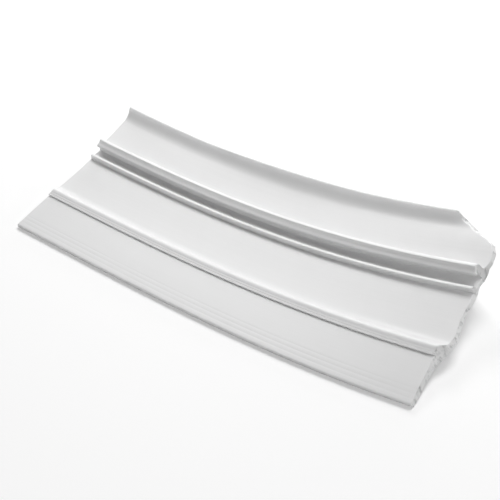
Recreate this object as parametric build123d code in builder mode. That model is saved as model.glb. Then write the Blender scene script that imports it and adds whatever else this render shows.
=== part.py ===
from build123d import *
from math import cos, sin, radians
import os

os.makedirs("parts", exist_ok=True)

# Driving dimensions of the section in millimetres, heights above the front edge's underside
WIDTH = 102.8               # front edge to the tip of the rear lip
WALL = 1.5                  # wall of the webs
BAND_T = 2.6                # thickness of the flat front band at its edge
BAND_W = 25.4               # depth of the front band, up to the ridge
BAND_RISE = 0.7             # climb of the band towards the ridge
GROOVE = 0.8                # depth of the undercut groove in front of the ridge
TIP_H = 4.1                 # lower edge of the ridge's front face
RIDGE_W = 4.1               # depth of the ridge's front face
RIDGE_H = 5.1               # top of the ridge
RIDGE_BACK = 5.5            # run from the ridge down to the web
WEB_H = 2.9                 # top of the middle web
WEB_RISE = 0.5              # climb of the web towards the bead
WEB_SAG = 0.25              # hollow of the web
BEAD_AT = 62.5              # front face of the bead
BEAD_W = 2.0                # thickness of the bead
BEAD_H = 6.2                # top of the bead
CHANNEL_H = 4.7             # floor of the clip channel
CHANNEL_W = 6.2             # width of the channel floor
RAIL_LEAN = 0.6             # backward lean of the rail's front face
RAIL_H = 10.9               # top of the hooked rail
HOOK = 2.3                  # overhang of the hook above the channel
HOOK_GAP = 3.1              # clear height under the hook
HOOK_T = 1.2                # thickness of the hook's rounded lip
HOOK_FACE = 3.1             # run of the hook's hollow front face
CREST_W = 1.6               # width of the rail's rounded top
HEEL_H = 1.9                # underside of the heel that the rail stands on
REAR_AT = 78.5              # start of the rear web, behind the rail
REAR_H = 7.5                # top of the rear web at its start
REAR_RISE = 1.9             # climb of the rear web towards the lip
REAR_SAG = 0.35             # hollow of the rear web
CURL_W = 8.2                # depth over which the web curls up into the lip
CURL_SAG = 1.3              # hollow of that curl
LIP_H = 15.7                # top of the rear lip
LIP_T = 1.2                 # thickness of the lip at its rounded tip

# The set that the strip has taken, from coiled storage
START_HEADING = -2.9        # direction of the front edge at the square end
CURVE_START = -0.23e-3      # plan curvature at the square end, per mm
CURVE_GAIN = 8.9e-6         # growth of that curvature with the distance, per mm
ROLL_START = 1.05           # lean of the section at the square end
ROLL_FALL = -17.0           # linear change of the lean over ROLL_SPAN
ROLL_RISE = 27.6            # quadratic change of the lean over ROLL_SPAN
ROLL_SPAN = 250.0

# Sawn end, as distances along and across the strip at floor height
LENGTH = 228.0              # front edge, from the square end to the sawn end
SAW_RIDGE = (236.3, 29.0)   # the saw line at the ridge,
SAW_BEAD = (247.3, 60.5)    # in front of the bead,
SAW_REAR = (256.4, 78.5)    # and behind the rail
CORNER_TOP = (257.2, 84.5)  # clipped rear corner: where it turns,
CORNER_MID = (251.8, 92.8)  # half way,
CORNER_TO = (239.0, 105.0)  # and where it has left the lip
SAW_LEAN = 1.05             # set-back of the saw line per mm of height
OVERRUN = 36.0              # stock past both ends, removed by the end cuts
STATIONS = 13               # sections along the length


# Plane of the section at one distance along the front edge
def station(distance):
    steps = 120
    ds = distance / steps
    x, y = 0.0, 0.0
    for i in range(steps):
        s = (i + 0.5) * ds
        heading = radians(START_HEADING) + CURVE_START * s + CURVE_GAIN * s**2 / 2
        x += ds * cos(heading)
        y += ds * sin(heading)
    heading = radians(START_HEADING) + CURVE_START * distance + CURVE_GAIN * distance**2 / 2
    u = distance / ROLL_SPAN
    lean = radians(ROLL_START + ROLL_FALL * u + ROLL_RISE * u**2)
    along = Vector(cos(heading), sin(heading), 0)
    across = Vector(-sin(heading) * cos(lean), cos(heading) * cos(lean), sin(lean))
    return Plane(origin=(x, y, 0), x_dir=across, z_dir=along)


# Places in the section that follow from the dimensions
edge_r = BAND_T / 2
ridge_at = BAND_W + RIDGE_W
web_at = ridge_at + RIDGE_BACK
foot_h = WEB_H + WEB_RISE
bead_r = BEAD_W / 2
channel_at = BEAD_AT + BEAD_W + bead_r / 10
rail_at = channel_at + CHANNEL_W
hook_root = rail_at + RAIL_LEAN
hook_h = CHANNEL_H + HOOK_GAP
lip_r = HOOK_T / 2
crest_at = hook_root - HOOK + lip_r + HOOK_FACE
curl_at = WIDTH - CURL_W
curl_h = REAR_H + REAR_RISE

# Section of the strip, front edge at zero, rear lip at the far side
with BuildSketch() as section:
    with BuildLine():
        nose = ThreePointArc((edge_r, 0), (0, edge_r), (edge_r, BAND_T))
        band = Line(nose @ 1, (BAND_W, BAND_T + BAND_RISE))
        groove = Polyline(band @ 1, (BAND_W + GROOVE, BAND_T + BAND_RISE / 2), (BAND_W, TIP_H))
        face = Line(groove @ 1, (ridge_at, RIDGE_H))
        crest = Spline(
            face @ 1,
            (ridge_at + 0.45 * RIDGE_BACK, (RIDGE_H + WEB_H) / 2),
            (web_at, WEB_H),
            tangents=[face % 1, (1, 0)],
        )
        web = SagittaArc(crest @ 1, (BEAD_AT - bead_r / 4, foot_h), -WEB_SAG)
        bead_front = Line(web @ 1, (BEAD_AT, BEAD_H - bead_r))
        bead_top = ThreePointArc(
            bead_front @ 1,
            (BEAD_AT + bead_r, BEAD_H),
            (BEAD_AT + BEAD_W, BEAD_H - bead_r),
        )
        bead_back = Line(bead_top @ 1, (channel_at, CHANNEL_H))
        channel = Line(bead_back @ 1, (rail_at, CHANNEL_H))
        rail = Line(channel @ 1, (hook_root, hook_h))
        hook = Line(rail @ 1, (hook_root - HOOK + lip_r, hook_h - lip_r / 2))
        hook_lip = ThreePointArc(
            hook @ 1,
            (hook_root - HOOK, hook_h + lip_r / 2),
            (hook_root - HOOK + lip_r, hook_h + HOOK_T),
        )
        hook_face = SagittaArc(hook_lip @ 1, (crest_at, RAIL_H - HOOK_T / 4), -HOOK_T / 4)
        rail_top = ThreePointArc(
            hook_face @ 1,
            (crest_at + CREST_W / 2, RAIL_H),
            (crest_at + CREST_W, RAIL_H - HOOK_T / 2),
        )
        rail_back = Spline(
            rail_top @ 1,
            (REAR_AT - CREST_W * 2, REAR_H + HOOK_T),
            (REAR_AT, REAR_H),
            tangents=[rail_top % 1, (1, 0.05)],
        )
        rear = SagittaArc(rail_back @ 1, (curl_at, curl_h), -REAR_SAG)
        curl = SagittaArc(rear @ 1, (WIDTH - LIP_T / 2, LIP_H - LIP_T / 2), -CURL_SAG)
        lip_tip = ThreePointArc(curl @ 1, (WIDTH, LIP_H), (WIDTH + LIP_T / 2, LIP_H - LIP_T / 2))
        lip_back = SagittaArc(lip_tip @ 1, (curl_at + WALL / 4, curl_h - WALL), CURL_SAG + LIP_T / 2)
        under_rear = SagittaArc(lip_back @ 1, (REAR_AT, REAR_H - WALL), REAR_SAG)
        heel_back = Spline(
            under_rear @ 1,
            (hook_root + 1.5 * WALL, CHANNEL_H - WALL / 2),
            (rail_at - WALL / 2, HEEL_H),
            tangents=[(-1, -0.05), (-1, -0.05)],
        )
        under_channel = SagittaArc(heel_back @ 1, (BEAD_AT, foot_h - WALL), foot_h - CHANNEL_H + WALL / 4)
        under_web = SagittaArc(under_channel @ 1, (web_at, WEB_H - WALL), WEB_SAG)
        Line(under_web @ 1, nose @ 0)
    make_face()

# One strip of stock through the leaning sections
with BuildPart() as trim:
    for i in range(STATIONS):
        place = -OVERRUN + i * (LENGTH + 2 * OVERRUN) / (STATIONS - 1)
        with BuildSketch(station(place)):
            add(section.sketch)
    loft(ruled=True)

    # Square end
    split(bisect_by=station(0), keep=Keep.TOP)

    # Sawn end, its line drawn on the floor of the section and its face leaning back
    end = station(LENGTH)
    floor = Plane(origin=end.origin, x_dir=end.z_dir, z_dir=end.y_dir)
    marks = [(LENGTH, 0), SAW_RIDGE, SAW_BEAD, SAW_REAR, CORNER_TOP, CORNER_MID, CORNER_TO]
    marks = [floor.to_local_coords(station(s).from_local_coords((v, 0, 0))) for s, v in marks]
    marks = [(p.X + SAW_LEAN * p.Z, p.Y) for p in marks]
    slope = (marks[1][1] - marks[0][1]) / (marks[1][0] - marks[0][0])
    front = (marks[0][0] - OVERRUN / slope, marks[0][1] - OVERRUN)
    far = 4 * OVERRUN
    with BuildSketch(floor):
        with BuildLine():
            Line(front, marks[0])
            saw = Spline(*marks[:4])
            corner = Spline(*marks[3:], tangents=[saw % 1, (marks[6][0] - marks[5][0], marks[6][1] - marks[5][1])])
            Polyline(corner @ 1, (marks[6][0], far), (far, far), (far, front[1]), front)
        make_face()
    lean_back = end.y_dir - end.z_dir * SAW_LEAN
    extrude(amount=2 * OVERRUN, dir=lean_back, both=True, mode=Mode.SUBTRACT)

# The strip as it lies, with its origin on the floor under its middle
box = trim.part.bounding_box()
centre = box.center()
trim_profile = trim.part.moved(Location((-centre.X, -centre.Y, -box.min.Z)))
trim_profile.label = "trim_profile"
export_step(trim_profile, "parts/trim_profile.step")
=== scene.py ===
# %% [markdown]
# A short length of flexible trim lies on a white floor: one extruded strip with
# a flat front band, a ridge, a clip channel and an upturned rear lip. The strip
# has taken a set, so it is bowed in plan and its section leans by an angle that
# changes along it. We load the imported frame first, because every size below
# has to agree with it.

# %% Load the frame
from functools import lru_cache
from math import atan2, cos, pi, radians, sin

import bmesh
import bpy
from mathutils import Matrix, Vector, noise


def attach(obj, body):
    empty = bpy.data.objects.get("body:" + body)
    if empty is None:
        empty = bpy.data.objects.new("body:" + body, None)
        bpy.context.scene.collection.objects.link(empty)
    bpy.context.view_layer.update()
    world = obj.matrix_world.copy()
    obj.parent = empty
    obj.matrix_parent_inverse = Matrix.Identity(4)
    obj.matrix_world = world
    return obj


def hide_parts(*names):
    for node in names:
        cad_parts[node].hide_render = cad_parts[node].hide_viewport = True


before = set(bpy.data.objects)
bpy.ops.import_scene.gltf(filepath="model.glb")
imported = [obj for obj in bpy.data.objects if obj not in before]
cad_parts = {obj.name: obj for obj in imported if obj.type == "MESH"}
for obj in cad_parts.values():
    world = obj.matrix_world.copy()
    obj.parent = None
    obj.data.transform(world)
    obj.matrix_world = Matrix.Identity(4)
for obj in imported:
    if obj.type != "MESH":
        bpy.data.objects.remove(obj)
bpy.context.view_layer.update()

MM = 0.001

# %% [markdown]
# An extruder pushes soft plastic through a die, so the whole strip follows from
# one drawing: its section. We draw it with a small pen. A straight run extrudes
# the last vertex and moves it, and a round run spins the last vertex about the
# centre of its circle, so Blender places the points along each arc.
# The pen works in the plane x = 0: y runs across the strip and z runs up.

# %% A pen for the section
class Pen:
    def __init__(self, bm, y, z):
        self.bm = bm
        self.tip = bm.verts.new((0, y * MM, z * MM))
        self.first = self.tip

    def line(self, y, z, steps=1):
        start, end = self.tip.co.copy(), Vector((0, y * MM, z * MM))
        for i in range(steps):
            made = bmesh.ops.extrude_vert_indiv(self.bm, verts=[self.tip])
            self.tip = made["verts"][0]
            self.tip.co = start.lerp(end, (i + 1) / steps)

    def arc(self, via, to, steps):
        a, b, c = self.tip.co.yz / MM, Vector(via), Vector(to)
        centre = circle_centre(a, b, c)
        turn = swept_angle(a - centre, b - centre, c - centre)
        made = bmesh.ops.spin(
            self.bm, geom=[self.tip], cent=(0, centre.x * MM, centre.y * MM),
            axis=(1, 0, 0), angle=turn, steps=steps,
        )
        self.tip = [g for g in made["geom_last"] if isinstance(g, bmesh.types.BMVert)][0]
        self.tip.co = (0, to[0] * MM, to[1] * MM)

    def close(self):
        self.bm.edges.new((self.tip, self.first))


def circle_centre(a, b, c):
    d = 2 * (a.x * (b.y - c.y) + b.x * (c.y - a.y) + c.x * (a.y - b.y))
    a2, b2, c2 = a.length_squared, b.length_squared, c.length_squared
    x = (a2 * (b.y - c.y) + b2 * (c.y - a.y) + c2 * (a.y - b.y)) / d
    y = (a2 * (c.x - b.x) + b2 * (a.x - c.x) + c2 * (b.x - a.x)) / d
    return Vector((x, y))


def swept_angle(start, middle, end):
    first, second = middle - start, end - middle
    turn = (atan2(end.y, end.x) - atan2(start.y, start.x)) % (2 * pi)
    return turn if first.x * second.y > first.y * second.x else turn - 2 * pi

# %% [markdown]
# A worn die leaves fine lines along the plastic. On the real strip they show on
# the front band and on the face of the ridge, so those two runs are scored: the
# pen stops at each line and draws a shallow round groove before it goes on.

# %% Scored runs
PITCH = 1.0


def scored_run(pen, to, lines, width, depth):
    start, end = pen.tip.co.yz / MM, Vector(to)

    def on_run(y):
        return start.lerp(end, (y - start.x) / (end.x - start.x))

    def run_to(point):
        gap = point.x - pen.tip.co.y / MM
        pen.line(*point, steps=max(1, round(gap / PITCH)))

    for y in lines:
        run_to(on_run(y - width / 2))
        pen.arc(on_run(y) - Vector((0, depth)), on_run(y + width / 2), steps=4)
    run_to(end)

# %% [markdown]
# The section itself, in millimetres: up the blunt front edge, back along the
# band, over the ridge, across the web, over the bead, through the channel, up
# the hooked rail, along the rear web to the lip, and home underneath.

# %% Draw the section
bm = bmesh.new()
strip_uv = bm.loops.layers.uv.new("strip")

# Front edge and band
pen = Pen(bm, 0.5, 0)
pen.arc((0.13, 0.17), (0, 0.6), steps=4)
pen.line(0, 1.6, steps=3)
pen.arc((0.25, 2.18), (0.85, 2.4), steps=5)
scored_run(pen, (8.5, 2.8), [2.9, 5.3, 7.7], width=0.8, depth=0.03)
pen.line(25.0, 3.28, steps=16)

# Groove, ridge and middle web
pen.line(25.9, 3.0, steps=2)
pen.line(25.5, 3.9)
pen.arc((25.4, 4.0), (25.5, 4.12), steps=2)
scored_run(pen, (28.6, 4.9), [26.5, 27.6], width=0.6, depth=0.08)
pen.arc((29.9, 5.08), (31.3, 4.5), steps=7)
pen.arc((33.0, 3.35), (35.0, 2.9), steps=6)
pen.arc((48.6, 2.9), (62.25, 3.4), steps=27)

# Bead and channel
pen.line(62.5, 5.75, steps=3)
pen.arc((62.6, 6.05), (62.9, 6.2), steps=4)
pen.line(63.7, 6.1, steps=2)
pen.arc((64.3, 5.8), (64.5, 5.2), steps=5)
pen.line(64.6, 4.5)
pen.arc((64.8, 4.25), (65.1, 4.2), steps=3)
pen.line(70.6, 4.2, steps=6)

# Rail with its hook
pen.line(71.7, 8.3, steps=4)
pen.arc((72.1, 9.0), (71.5, 9.05), steps=5)
pen.line(70.15, 7.85, steps=2)
pen.arc((69.5, 7.52), (69.1, 8.1), steps=5)
pen.arc((69.25, 8.85), (69.75, 9.25), steps=4)
pen.arc((71.1, 9.68), (72.3, 10.5), steps=6)
pen.arc((72.42, 10.74), (72.75, 10.85), steps=4)
pen.line(73.7, 10.8, steps=2)
pen.arc((74.15, 10.65), (74.3, 10.3), steps=4)
pen.line(74.1, 7.7, steps=3)

# Rear web and lip
pen.arc((74.35, 7.15), (75.0, 7.0), steps=4)
pen.arc((84.6, 7.9), (94.6, 9.4), steps=20)
pen.arc((99.18, 11.21), (102.2, 15.1), steps=11)
pen.arc((102.8, 15.7), (103.4, 15.1), steps=6)

# Underside
pen.arc((100.42, 10.06), (94.975, 7.9), steps=11)
pen.arc((86.6, 6.55), (79.0, 5.75), steps=14)
pen.arc((76.6, 5.2), (74.7, 4.3), steps=6)
pen.arc((72.6, 2.75), (70.05, 1.9), steps=6)
pen.arc((66.28, 2.825), (62.5, 1.9), steps=8)
pen.arc((48.75, 1.4), (35.0, 1.4), steps=27)
pen.line(0.501, 0, steps=30)
pen.close()
face = bmesh.ops.contextual_create(bm, geom=list(bm.edges))["faces"][0]
print("Section:", len(bm.verts), "points, area", round(face.calc_area() / MM**2, 1), "mm2")

# %% [markdown]
# Pushing the section out gives the strip. It is made straight and a little too
# long at both ends, then cut into short lengths so that it can bend. Extruding
# the face by itself makes the walls in the order of its corners, so every run of
# this script gives the same mesh. It leaves the start open, which doesn't matter:
# the square cut removes that end and closes the strip.

# %% Push the strip out
START, REACH, PIECES = -2.0, 264.0, 150
HALF_LENGTH = 0.1
bmesh.ops.translate(bm, verts=list(bm.verts), vec=(START * MM, 0, 0))
pushed = bmesh.ops.extrude_discrete_faces(bm, faces=[face])
far = list(pushed["faces"][0].verts)
bmesh.ops.translate(bm, verts=far, vec=((REACH - START) * MM, 0, 0))
bmesh.ops.recalc_face_normals(bm, faces=list(bm.faces))
runs = [e for e in bm.edges if abs(e.verts[0].co.x - e.verts[1].co.x) > HALF_LENGTH]
bmesh.ops.subdivide_edges(bm, edges=runs, cuts=PIECES - 1, use_grid_fill=True)
print("Strip:", len(bm.verts), "points")

# %% [markdown]
# The left end is cut square. The other end was sawn by hand with the blade held
# over: the cut runs askew and leans back, and the rear corner was nipped off in
# a few strokes. Each stroke is one bisecting plane that clears what lies beyond
# it, and the open rim is filled at once so that the strip stays a solid. Slivers
# that a stroke leaves beside a point of the strip are dissolved at the end. The
# marks of the saw line are distances along and across the strip at floor height.

# %% Cut the ends
SNAP = 1e-7
SAW_LEAN = 1.05
SAW_MARKS = [
    (228.0, 0.0), (256.4, 78.5), (257.4, 83.5),
    (256.5, 87.7), (252.2, 92.1), (238.4, 105.0),
]
SAWN_FROM, SAWN_TILT = 0.2, 0.3


def stroke(bm, point, normal):
    geom = list(bm.verts) + list(bm.edges) + list(bm.faces)
    cut = bmesh.ops.bisect_plane(
        bm, geom=geom, dist=SNAP,
        plane_co=Vector(point) * MM, plane_no=normal, clear_outer=True,
    )
    rim = [g for g in cut["geom_cut"] if isinstance(g, bmesh.types.BMEdge)]
    bmesh.ops.triangle_fill(bm, edges=rim, use_beauty=True)


stroke(bm, (0, 0, 0), (-1, 0, 0))
for here, there in zip(SAW_MARKS, SAW_MARKS[1:]):
    along, across = there[0] - here[0], there[1] - here[1]
    stroke(bm, (*here, 0), (across, -along, SAW_LEAN * across))
bmesh.ops.dissolve_degenerate(bm, dist=SNAP, edges=list(bm.edges))
bm.normal_update()
sawn = [
    f for f in bm.faces
    if f.normal.x > SAWN_TILT and f.calc_center_median().x > SAWN_FROM
]
print("Sawn faces:", len(sawn))

# %% [markdown]
# No hand saw runs true. The blade drifted in and out across the width, more at
# the underside than at the top, and its teeth tore the soft plastic. We poke
# each sawn face, which adds a point in its middle, and then shift all that is
# near the end along the strip: by the drift of the blade, which is given by a
# few marks for the top surface and a few for the underside, and by a fine tear
# from a noise that never changes. Each mark is a place across the strip with the
# height or the drift there, in millimetres.

# %% Tear the sawn end
TOP_Z = [
    (0, 2.4), (8, 2.8), (25, 3.3), (29.5, 5.1), (34, 3.0), (62, 3.4), (64, 6),
    (69, 9), (73.6, 10.9), (78, 7.5), (94.6, 9.4), (99.2, 11.2), (103, 15.7),
]
UNDER_Z = [
    (0, 0), (35, 1.4), (62.5, 1.9), (66, 2.8), (70, 1.9),
    (74, 4.3), (78.5, 6), (95, 7.9), (100.4, 10), (103.4, 15),
]
TOP_DRIFT = [
    (0, 1), (17, -0.9), (26, -2.1), (29.5, -1.7), (31.5, 0.2),
    (38, 0.3), (46, -1.5), (61, -2.7), (65, -1.6), (73, -1.8),
    (76, -0.2), (90, 0), (95, -2.6), (99.5, -2.8), (103, 1),
]
UNDER_DRIFT = [
    (0, 0.4), (13, -0.9), (22, -1), (28, 0.9), (36, 1.6), (44, -0.7), (53, -2.3),
    (55, -1.5), (71, -2.4), (78, 0.5), (89, 1.2), (95, 0.5), (103, 1.2),
]
TEAR, TORN_POINT, REACH_BACK = 0.22, 0.3, 10.0
SAW_SLOPE, CLIP_SLOPE = 0.3618, 1.07
SAW_START = SAW_MARKS[0][0]
CLIP_AT, CLIP_ACROSS = SAW_MARKS[4]


def between(marks, y):
    for (y0, z0), (y1, z1) in zip(marks, marks[1:]):
        if y <= y1:
            return z0 + (z1 - z0) * (y - y0) / (y1 - y0)
    return marks[-1][1]


def ragged(y, z, layer):
    return noise.noise(Vector((y, z, layer)))


def saw_shift(y, z):
    under = between(UNDER_Z, y)
    height = min(max((z - under) / (between(TOP_Z, y) - under), 0), 1)
    drift = between(UNDER_DRIFT, y) * (1 - height) + between(TOP_DRIFT, y) * height
    tear = ragged(y * 0.5, z * 0.3, 4.0) + 0.8 * ragged(y * 1.6, z * 1.5, 9.0)
    return drift + TEAR * tear * min(1, 0.3 + y / 40)


poked = bmesh.ops.poke(bm, faces=sawn)
torn = set(poked["verts"])
for f in poked["faces"]:
    f.material_index = 1
for v in bm.verts:
    s, y, z = v.co / MM
    saw_at = min(SAW_START + SAW_SLOPE * y, CLIP_AT - CLIP_SLOPE * (y - CLIP_ACROSS))
    near = 1 - (saw_at - SAW_LEAN * z - s) / REACH_BACK
    if near > 0:
        near = min(near, 1.0)
        v.co.x += saw_shift(y, z) * near * near * (3 - 2 * near) * MM
        if v in torn:
            v.co.x += TORN_POINT * ragged(y * 1.7, z * 1.7, 2.0) * MM
print("Torn points:", len(torn))

# %% [markdown]
# Now the set of the strip. Its front edge follows a curve that tightens towards
# the sawn end, and the section leans by an angle that first falls and then
# rises. Every point keeps its place in the section and is carried to the
# station at its own distance. Only the thin lip gives a little: it stands up
# half way along and sinks towards the sawn end. Before the bend, the place of
# each point on the straight strip is kept as a UV map, for the streaks below.

# %% Bend and twist the strip
HEADING, CURVE, GAIN = radians(-2.9), -0.23e-3, 8.9e-6
LEAN, FALL, RISE, SPAN = 1.05, -17.0, 27.6, 250.0
OFFSET = Vector((-118.8846, -48.82605, 0.03412))
CURVE_STEPS = 60
LIP_FROM, LIP_DEPTH = 84, 18.8
WAVE, WAVE_FROM, WAVE_TO = 1.2, 60, 170
SINK, SINK_RUN, SINK_POWER, SINK_MOST = 2.0, 55, 1.5, 2.6
SHARP = radians(30)


def lip_lift(s, y):
    if y < LIP_FROM:
        return 0.0
    wave = 0.0
    if WAVE_FROM < s < WAVE_TO:
        wave = WAVE * sin(pi * (s - WAVE_FROM) / (WAVE_TO - WAVE_FROM))
    sink = SINK * (max(s - WAVE_TO, 0) / SINK_RUN) ** SINK_POWER
    return (wave - min(sink, SINK_MOST)) * ((y - LIP_FROM) / LIP_DEPTH) ** 2


def heading(s):
    return HEADING + CURVE * s + GAIN * s * s / 2


@lru_cache(maxsize=None)
def station(s):
    x = y = 0.0
    for i in range(CURVE_STEPS):
        h = heading((i + 0.5) * s / CURVE_STEPS)
        x += cos(h) * s / CURVE_STEPS
        y += sin(h) * s / CURVE_STEPS
    h = heading(s)
    lean = radians(LEAN + FALL * s / SPAN + RISE * (s / SPAN) ** 2)
    across = Vector((-sin(h) * cos(lean), cos(h) * cos(lean), sin(lean)))
    up = Vector((sin(h) * sin(lean), -cos(h) * sin(lean), cos(lean)))
    return Vector((x, y, 0)) + OFFSET, across, up


for f in bm.faces:
    f.smooth = True
    for loop in f.loops:
        loop[strip_uv].uv = (loop.vert.co.x, loop.vert.co.y)
for v in bm.verts:
    s, across_mm, up_mm = v.co / MM
    up_mm += lip_lift(s, across_mm)
    origin, across, up = station(round(s, 4))
    v.co = (origin + across * across_mm + up * up_mm) * MM

mesh = bpy.data.meshes.new("trim_strip")
bm.to_mesh(mesh)
bm.free()
strip = bpy.data.objects.new("trim_strip", mesh)
bpy.context.scene.collection.objects.link(strip)
mesh.set_sharp_from_angle(angle=SHARP)
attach(strip, "root")
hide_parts("trim_profile")
print("Bent strip:", len(mesh.polygons), "faces")

# %% [markdown]
# Materials are sums of small patterns. This class lets us write them as plain
# arithmetic: it holds one socket, and each operator adds a Math node behind it.
# The make method adds any other node: its settings come first, then its inputs.

# %% Shader arithmetic
class Flow:
    def __init__(self, tree, socket=None):
        self.tree, self.socket = tree, socket

    def make(self, kind, settings, inputs, out=0):
        node = self.tree.nodes.new(kind)
        for name, value in settings.items():
            setattr(node, name, value)
        for name, value in inputs.items():
            self.feed(node.inputs[name], value)
        return Flow(self.tree, node.outputs[out])

    def feed(self, target, value):
        if isinstance(value, Flow):
            self.tree.links.new(value.socket, target)
        else:
            target.default_value = value

    def grey(self, value):
        return self.make("ShaderNodeCombineColor", {}, {0: value, 1: value, 2: value})

    def sum(self, operation, a, b):
        return self.make("ShaderNodeMath", {"operation": operation}, {0: a, 1: b})

    def __add__(self, other):
        return self.sum("ADD", self, other)

    def __radd__(self, other):
        return self.sum("ADD", other, self)

    def __sub__(self, other):
        return self.sum("SUBTRACT", self, other)

    def __rsub__(self, other):
        return self.sum("SUBTRACT", other, self)

    def __mul__(self, other):
        return self.sum("MULTIPLY", self, other)

    def __rmul__(self, other):
        return self.sum("MULTIPLY", other, self)


def new_material(name):
    material = bpy.data.materials.new(name)
    material.use_nodes = True
    return material, Flow(material.node_tree)

# %% [markdown]
# White PVC with a satin skin. Streaks from the die run along the strip: noise
# that is stretched along and squeezed across. They barely touch the colour, and
# they vary the gloss a little. Light gets a few millimetres into this plastic
# before it comes out again, so the thin lip and the edges never go quite dark.

# %% White PVC
STREAKS_ALONG, STREAKS_ACROSS = 6.0, 900.0
WHITE, SATIN = 0.80, 0.4
STREAK_RELIEF = 0.00004
LIGHT_DEPTH = 0.003
pvc, flow = new_material("white_pvc")
skin = pvc.node_tree.nodes["Principled BSDF"].inputs
place = flow.make("ShaderNodeUVMap", {"uv_map": "strip"}, {})
uv_along = flow.make("ShaderNodeSeparateXYZ", {}, {0: place}, out=0)
uv_across = flow.make("ShaderNodeSeparateXYZ", {}, {0: place}, out=1)
stretched = flow.make(
    "ShaderNodeCombineXYZ", {}, {0: uv_along * STREAKS_ALONG, 1: uv_across * STREAKS_ACROSS}
)
streaks = flow.make(
    "ShaderNodeTexNoise", {}, {"Vector": stretched, "Scale": 1.0, "Detail": 2.0}
)
relief = flow.make(
    "ShaderNodeBump", {}, {"Height": streaks * STREAK_RELIEF, "Strength": 0.6}
)
flow.feed(skin["Base Color"], flow.grey(WHITE + (streaks - 0.5) * 0.03))
flow.feed(skin["Roughness"], SATIN + streaks * 0.12)
flow.feed(skin["Normal"], relief)
flow.feed(skin["Subsurface Weight"], 0.9)
flow.feed(skin["Subsurface Radius"], (1.0, 1.0, 1.0))
flow.feed(skin["Subsurface Scale"], LIGHT_DEPTH)
mesh.materials.append(pvc)
print("White PVC:", len(pvc.node_tree.nodes), "nodes")

# %% [markdown]
# Where the saw went, the skin is gone. The torn plastic is dull and whiter than the skin,
# and its colour is lifted a little more with painted light, for the light that falls on the
# sawn end. It is scored by short cracks from the underside to the top, and the shade in them
# is painted in as dark lines. They come from a noise that is stretched upwards, of which
# only the highest values count.

# %% Sawn PVC
UPRIGHT = (1, 1, 0.25)
GRAIN, GRAIN_RELIEF = 480.0, 0.0004
TORN_WHITE_AND_PAINTED_LIGHT, PAINTED_CRACK_SHADE, TORN_ROUGH = 0.93, 0.4, 0.7
sawn_pvc, flow = new_material("sawn_pvc")
bare = sawn_pvc.node_tree.nodes["Principled BSDF"].inputs
spot = flow.make("ShaderNodeTexCoord", {}, {}, out=3)
upright = flow.make("ShaderNodeVectorMath", {"operation": "MULTIPLY"}, {0: spot, 1: UPRIGHT})
grain = flow.make(
    "ShaderNodeTexNoise", {}, {"Vector": upright, "Scale": GRAIN, "Detail": 2.0}
)
painted_crack_shade = flow.make(
    "ShaderNodeMapRange", {}, {"Value": grain, "From Min": 0.5, "From Max": 0.75}
)
relief = flow.make("ShaderNodeBump", {}, {"Height": grain * GRAIN_RELIEF, "Strength": 0.6})
# Painted light and shade: the torn white sits above the plastic's own tone to stand in for
# light on the sawn end, and the cracks are painted darker for the shade in them.
flow.feed(bare["Base Color"], flow.grey(TORN_WHITE_AND_PAINTED_LIGHT - painted_crack_shade * PAINTED_CRACK_SHADE))
flow.feed(bare["Normal"], relief)
flow.feed(bare["Roughness"], TORN_ROUGH)
mesh.materials.append(sawn_pvc)
print("Sawn PVC:", len(sawn_pvc.node_tree.nodes), "nodes")

# %% [markdown]
# A white floor that keeps the soft shadow. To the camera, and in reflections,
# it glows a little on top of the light that it scatters, which lifts it to
# white without lighting the strip any more.

# %% Floor
FLOOR_HALF, FLOOR_WHITE, FLOOR_GLOW = 0.7, 0.9, 0.2


def looked_at(flow):
    seen = flow.make("ShaderNodeLightPath", {}, {}, out="Is Camera Ray")
    mirrored = flow.make("ShaderNodeLightPath", {}, {}, out="Is Glossy Ray")
    through = flow.make("ShaderNodeLightPath", {}, {}, out="Is Transmission Ray")
    return seen + mirrored + through


sheet = bmesh.new()
bmesh.ops.create_grid(sheet, x_segments=1, y_segments=1, size=FLOOR_HALF)
floor = bpy.data.objects.new("floor", bpy.data.meshes.new("floor"))
sheet.to_mesh(floor.data)
sheet.free()
bpy.context.scene.collection.objects.link(floor)
paper, flow = new_material("white_paper")
paper.node_tree.nodes.remove(paper.node_tree.nodes["Principled BSDF"])
floor_color = (FLOOR_WHITE, FLOOR_WHITE, FLOOR_WHITE, 1)
matte = flow.make("ShaderNodeBsdfDiffuse", {}, {"Color": floor_color})
glow = flow.make("ShaderNodeEmission", {}, {"Strength": looked_at(flow) * FLOOR_GLOW})
both = flow.make("ShaderNodeAddShader", {}, {0: matte, 1: glow})
flow.feed(paper.node_tree.nodes["Material Output"].inputs["Surface"], both)
floor.data.materials.append(paper)
print("Floor:", 2 * FLOOR_HALF, "m wide")

# %% [markdown]
# The light of a small photo table. Most of it comes from a soft box high behind
# the strip, so the front edge, the bead and the channel turn dark while the flat
# parts stay light. A low box behind gives the thin bright lines along the crests,
# two smaller ones behind spread the light sideways, one at the right reaches the
# sawn end, and two in front open up the shaded faces. All of them face the middle
# of the strip. The room itself is white to the camera and in reflections, and it
# lights nothing. Each row gives a box's place, its size and its power in watts.

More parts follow.
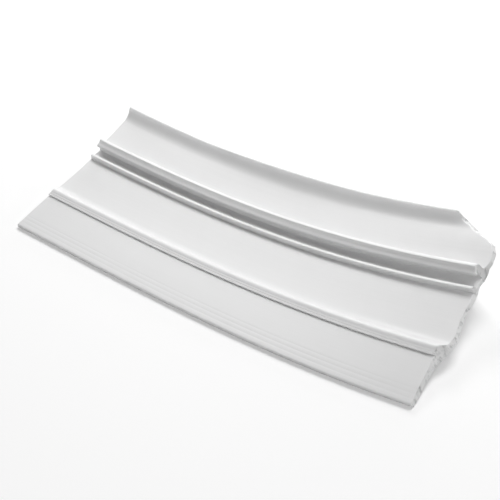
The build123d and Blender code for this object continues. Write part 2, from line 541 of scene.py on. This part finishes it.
# %% Light
MIDDLE = Vector((0, 0, 0))
SOFT_BOXES = {
    "back_box": ((-0.08, 0.76, 0.925), (0.5, 0.35), 9.2),
    "back_low_box": ((0, 1.17, 0.25), (0.9, 0.25), 2.4),
    "back_left_box": ((-0.668, 0.796, 0.6), (0.5, 0.25), 3.8),
    "back_right_box": ((0.442, 0.527, 0.983), (0.5, 0.25), 1.4),
    "right_box": ((1.155, 0.101, 0.31), (0.5, 0.25), 1.8),
    "front_box": ((0.0, -1.128, 0.41), (0.5, 0.25), 0.7),
    "front_high_box": ((0.0, -0.771, 0.919), (0.5, 0.25), 2.8),
}


def soft_box(name, place, size, power):
    lamp = bpy.data.lights.new(name, "AREA")
    lamp.shape = "RECTANGLE"
    lamp.size, lamp.size_y = size
    lamp.energy = power
    obj = bpy.data.objects.new(name, lamp)
    obj.location = place
    obj.rotation_euler = (MIDDLE - Vector(place)).to_track_quat("-Z", "Y").to_euler()
    bpy.context.scene.collection.objects.link(obj)


world = bpy.data.worlds.new("room")
bpy.context.scene.world = world
world.use_nodes = True
flow = Flow(world.node_tree)
walls = world.node_tree.nodes["Background"].inputs
flow.feed(walls["Color"], (1, 1, 1, 1))
flow.feed(walls["Strength"], looked_at(flow))
for name, (place, size, power) in SOFT_BOXES.items():
    soft_box(name, place, size, power)
print("Soft boxes:", len(SOFT_BOXES))

# %% [markdown]
# The camera stands in front at the right and looks down on the strip. Its place
# and its lens were found from the outline of the strip in the photo: the image is
# 500 picture points wide, and the lens is 600 of them long. The Standard view
# leaves the colours as they are written.

# %% Camera
SENSOR, LENS_POINTS, IMAGE_POINTS = 36.0, 600, 500
EYE = Vector((0.103397, -0.18862, 0.24393))
TARGET = Vector((0.002487, -0.00217, 0.00003))
camera = bpy.data.cameras.new("camera")
camera.sensor_width = SENSOR
camera.lens = SENSOR * LENS_POINTS / IMAGE_POINTS
camera.clip_start = 0.01
view = bpy.data.objects.new("camera", camera)
view.location = EYE
view.rotation_euler = (TARGET - EYE).to_track_quat("-Z", "Y").to_euler()
bpy.context.scene.collection.objects.link(view)
bpy.context.scene.camera = view
bpy.context.scene.view_settings.view_transform = "Standard"
print("Camera lens in mm:", camera.lens)
